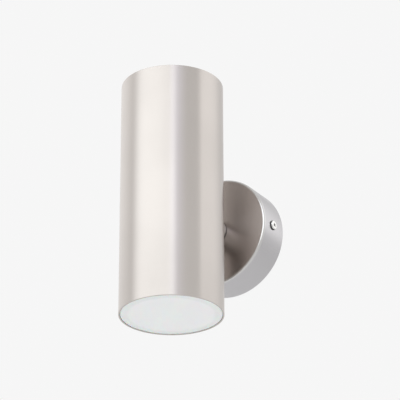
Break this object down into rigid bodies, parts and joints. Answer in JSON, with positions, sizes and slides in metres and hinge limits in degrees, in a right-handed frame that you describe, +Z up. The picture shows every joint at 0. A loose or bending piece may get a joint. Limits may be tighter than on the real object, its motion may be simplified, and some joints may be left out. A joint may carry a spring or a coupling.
{
  "type": "tube wall light",
  "caption": "Up-and-down wall light: a brushed metal tube with frosted lenses in both ends, held on a short stem in front of a round, shallow wall cup.",
  "frame": {"origin": "centre of the cable hole, on the wall, which is also the centre of the wall cup's open back", "axes": "+Z up, along the tube; +Y into the wall; +X to the right seen from the room"},
  "size_m": [0.0794, 0.112, 0.164],
  "materials": {
    "brushed_metal": "satin, brushed in fine lines",
    "screw_steel": "bright, lightly polished",
    "black_washer": "matt",
    "black_rubber": "matt",
    "opal_lens": "frosted opal white",
    "clear_silicone": "translucent white",
    "white_reflector": "smooth moulded white",
    "board_white": "white solder mask",
    "led_phosphor": "yellow phosphor",
    "aluminium": "turned, bare",
    "zinc_steel": "bright zinc plate",
    "brass": "machined, bare",
    "driver_plastic": "fine moulded texture",
    "board_green": "green solder mask",
    "transformer": "dark core with a taped winding",
    "capacitor": "black sleeve with an aluminium end",
    "terminal_nylon": "translucent white nylon",
    "live_sleeve": "brown insulation",
    "neutral_sleeve": "blue insulation",
    "earth_sleeve": "green insulation with a yellow stripe",
    "lead_sleeve": "white insulation"
  },
  "bodies": {
    "light": {"backplate_cup": "brushed_metal", "bracket_earth_screw": "brass", "bracket_earth_tag": "zinc_steel", "cable_bush": "black_rubber", "chassis_bracket": "zinc_steel", "chassis_earth_screw": "brass", "chassis_earth_tag": "zinc_steel", "cup_lock_washer": "zinc_steel", "cup_nut": "zinc_steel", "driver_board": "board_green", "driver_capacitors": "capacitor", "driver_case": "driver_plastic", "driver_cover": "driver_plastic", "driver_screws": "zinc_steel", "driver_transformer": "transformer", "earth_wire": "earth_sleeve", "live_wire": "live_sleeve", "lower_heat_sink": "aluminium", "lower_led_board": "board_white", "lower_led_board_screws": "zinc_steel", "lower_led_chips": "led_phosphor", "lower_led_leads": "lead_sleeve", "lower_lens": "opal_lens", "lower_lens_gasket": "clear_silicone", "lower_reflector": "white_reflector", "neutral_wire": "neutral_sleeve", "saddle_washer": "aluminium", "stem_seal": "black_rubber", "stem_sleeve": "brushed_metal", "terminal_block": "terminal_nylon", "terminal_block_screw": "zinc_steel", "terminal_clamp_screws": "zinc_steel", "threaded_pipe": "brass", "tube_body": "brushed_metal", "tube_lock_washer": "zinc_steel", "tube_nut": "zinc_steel", "upper_heat_sink": "aluminium", "upper_led_board": "board_white", "upper_led_board_screws": "zinc_steel", "upper_led_chips": "led_phosphor", "upper_led_leads": "lead_sleeve", "upper_lens": "opal_lens", "upper_lens_gasket": "clear_silicone", "upper_reflector": "white_reflector", "wall_bracket": "zinc_steel"},
    "right_washer": {"cover_screw_washer_right": "black_washer"},
    "right_screw": {"cover_screw_right": "screw_steel"},
    "left_washer": {"cover_screw_washer_left": "black_washer"},
    "left_screw": {"cover_screw_left": "screw_steel"}
  },
  "joints": [
    {"name": "right_screw_travel", "type": "slide", "parent": "light", "child": "right_washer", "axis": [1, 0, 0], "range_m": [0, 0.006]},
    {"name": "right_screw_turn", "type": "hinge", "parent": "right_washer", "child": "right_screw", "pos_m": [0.03865, -0.0132, 0], "axis": [1, 0, 0], "range_deg": [0, 4320]},
    {"name": "left_screw_travel", "type": "slide", "parent": "light", "child": "left_washer", "axis": [-1, 0, 0], "range_m": [0, 0.006]},
    {"name": "left_screw_turn", "type": "hinge", "parent": "left_washer", "child": "left_screw", "pos_m": [-0.03865, -0.0132, 0], "axis": [-1, 0, 0], "range_deg": [0, 4320]}
  ],
  "couplings": [
    {"joint": "right_screw_turn", "follows": "right_screw_travel", "rad_per_m": 12566},
    {"joint": "left_screw_turn", "follows": "left_screw_travel", "rad_per_m": 12566}
  ]
}
